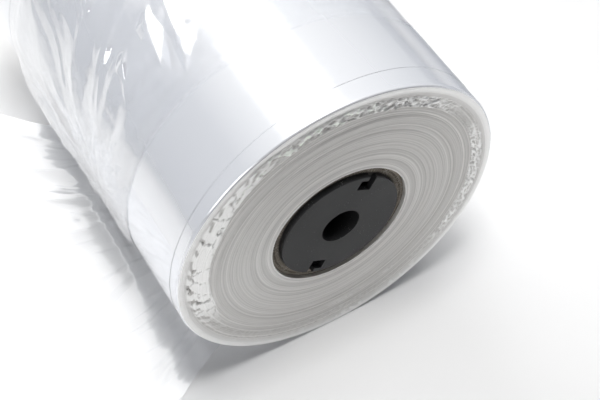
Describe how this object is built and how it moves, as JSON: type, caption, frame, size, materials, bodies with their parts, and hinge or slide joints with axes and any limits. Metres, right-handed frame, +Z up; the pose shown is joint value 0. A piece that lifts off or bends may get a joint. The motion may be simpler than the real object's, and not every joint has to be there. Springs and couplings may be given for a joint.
{
  "type": "roll of lay-flat tubing",
  "caption": "Roll of clear lay-flat plastic tubing wound on a cardboard core with black moulded plugs in its ends, lying on its side with a loose gathered tail of film.",
  "frame": {"origin": "on the floor, under the roll's axis, at the middle of the film's width", "axes": "+Z up; the roll's axis runs along Y and the end with the shown plug faces -Y; the free tail of film runs out to -X"},
  "size_m": [0.3894, 0.315, 0.2181],
  "materials": {
    "clear_film": "clear glossy film, milky white where it is wound",
    "core_board": "grey-brown spiral-wound board",
    "plug_plastic": "black moulded plastic with a satin face"
  },
  "bodies": {
    "root": {"film_roll": "clear_film", "cardboard_core": "core_board", "front_core_plug": "plug_plastic", "rear_core_plug": "plug_plastic"}
  },
  "joints": []
}
